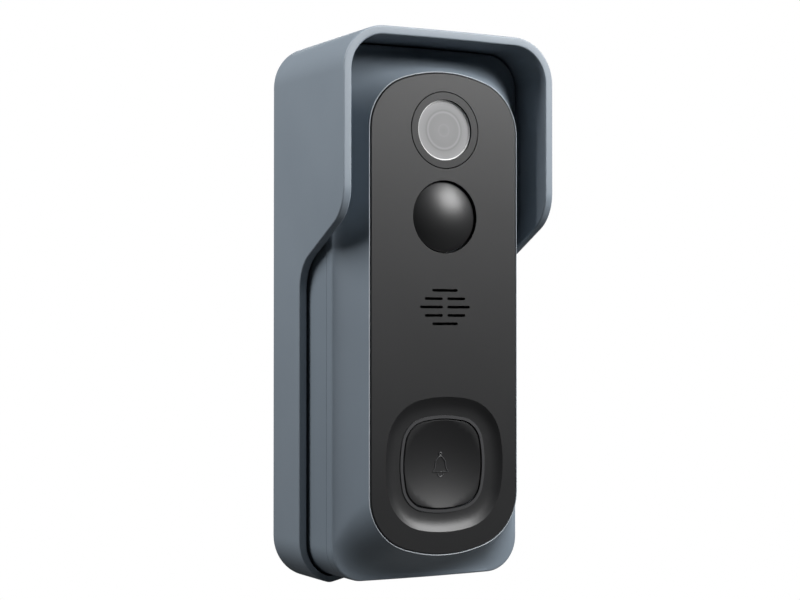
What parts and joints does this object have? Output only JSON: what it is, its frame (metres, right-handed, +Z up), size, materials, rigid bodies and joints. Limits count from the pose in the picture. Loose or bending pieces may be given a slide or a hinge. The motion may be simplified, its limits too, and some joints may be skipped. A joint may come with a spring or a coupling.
{
  "type": "battery video doorbell",
  "caption": "Upright battery video doorbell with a round camera window, motion dome, sound slots and a square push button, clipped into a hooded rain cover.",
  "frame": {"origin": "centre of the rain cover's flat back face, on the wall", "axes": "+Z up, +X to the right as a visitor faces the doorbell, +Y into the wall"},
  "size_m": [0.0638, 0.0433, 0.148],
  "materials": {
    "cover_plastic": "moulded, fine texture, blue grey",
    "housing_plastic": "moulded, fine texture, blue grey",
    "bracket_plastic": "plain moulded black",
    "plate_black": "smooth black with a satin sheen",
    "bezel_black": "polished black",
    "bezel_ring": "dark grey satin ring",
    "window_grey": "grey tinted cover glass",
    "lens_glass": "coated lens glass",
    "barrel_black": "black moulded",
    "dome_plastic": "dark smoked dome",
    "button_black": "satin black",
    "silicone": "soft silicone",
    "seal_rubber": "black cord",
    "port_rubber": "matte rubber, blue grey",
    "board_green": "solder mask",
    "flex_film": "amber film",
    "chip_black": "epoxy",
    "shield_metal": "tinned can",
    "screw_steel": "passivated",
    "contact_metal": "plated strip",
    "cell_wrap": "shrink sleeve",
    "wire_cover": "wire insulation",
    "magnet_metal": "nickel plate",
    "cone_film": "polymer film",
    "mesh_metal": "blackened woven wire",
    "led_clear": "moulded lens"
  },
  "bodies": {
    "wall_cover": {"rain_cover": "cover_plastic", "mounting_bracket": "bracket_plastic", "bracket_screws": "screw_steel"},
    "doorbell": {"rear_housing": "housing_plastic", "front_housing": "housing_plastic", "housing_seal": "seal_rubber", "housing_screws": "screw_steel", "face_plate": "plate_black", "camera_bezel": "bezel_black", "camera_window": "window_grey", "lens_barrel": "barrel_black", "front_lens": "lens_glass", "rear_lens": "lens_glass", "lens_holder": "barrel_black", "ir_cut_frame": "barrel_black", "image_sensor": "chip_black", "camera_board": "board_green", "camera_flex": "flex_film", "ir_led_board": "board_green", "ir_leds": "led_clear", "pir_lens": "dome_plastic", "pir_sensor": "shield_metal", "speaker_frame": "bracket_plastic", "speaker_magnet": "magnet_metal", "speaker_cone": "cone_film", "speaker_gasket": "silicone", "grille_mesh": "mesh_metal", "mic_boot": "silicone", "microphone": "shield_metal", "main_board": "board_green", "board_screws": "screw_steel", "soc_shield": "shield_metal", "wifi_module": "shield_metal", "antenna": "flex_film", "battery_cells": "cell_wrap", "battery_tray": "bracket_plastic", "battery_contacts": "contact_metal", "battery_lead": "wire_cover", "io_board": "board_green", "usb_socket": "shield_metal", "card_slot": "shield_metal", "reset_switch": "chip_black", "button_bezel": "bezel_ring", "button_seal": "silicone", "tact_switch": "chip_black", "security_screw": "screw_steel"},
    "button": {"button_cap": "button_black"},
    "switch_stem": {"tact_plunger": "chip_black"},
    "port_flap": {"port_cover": "port_rubber"},
    "reset_key": {"reset_plunger": "silicone"},
    "night_filter": {"ir_cut_blade": "chip_black", "ir_cut_glass": "lens_glass"}
  },
  "joints": [
    {"name": "unit_slide", "type": "slide", "parent": "wall_cover", "child": "doorbell", "axis": [0, -1, 0], "range_m": [0, 0.05]},
    {"name": "bell_push", "type": "slide", "parent": "doorbell", "child": "button", "axis": [0, 1, 0], "range_m": [0, 0.0006], "stiffness_N_per_m": 2500, "springref_m": -0.0004},
    {"name": "switch_press", "type": "slide", "parent": "doorbell", "child": "switch_stem", "axis": [0, 1, 0], "range_m": [0, 0.0006]},
    {"name": "port_flap_hinge", "type": "hinge", "parent": "doorbell", "child": "port_flap", "pos_m": [0, -0.01843, -0.07132], "axis": [-1, 0, 0], "range_deg": [0, 100]},
    {"name": "reset_press", "type": "slide", "parent": "doorbell", "child": "reset_key", "axis": [0, 0, 1], "range_m": [0, 0.0003], "stiffness_N_per_m": 1500, "springref_m": -0.0003},
    {"name": "night_filter_shift", "type": "slide", "parent": "doorbell", "child": "night_filter", "axis": [1, 0, 0], "range_m": [0, 0.0044]}
  ],
  "couplings": [
    {"joint": "switch_press", "follows": "bell_push", "ratio": 1}
  ]
}
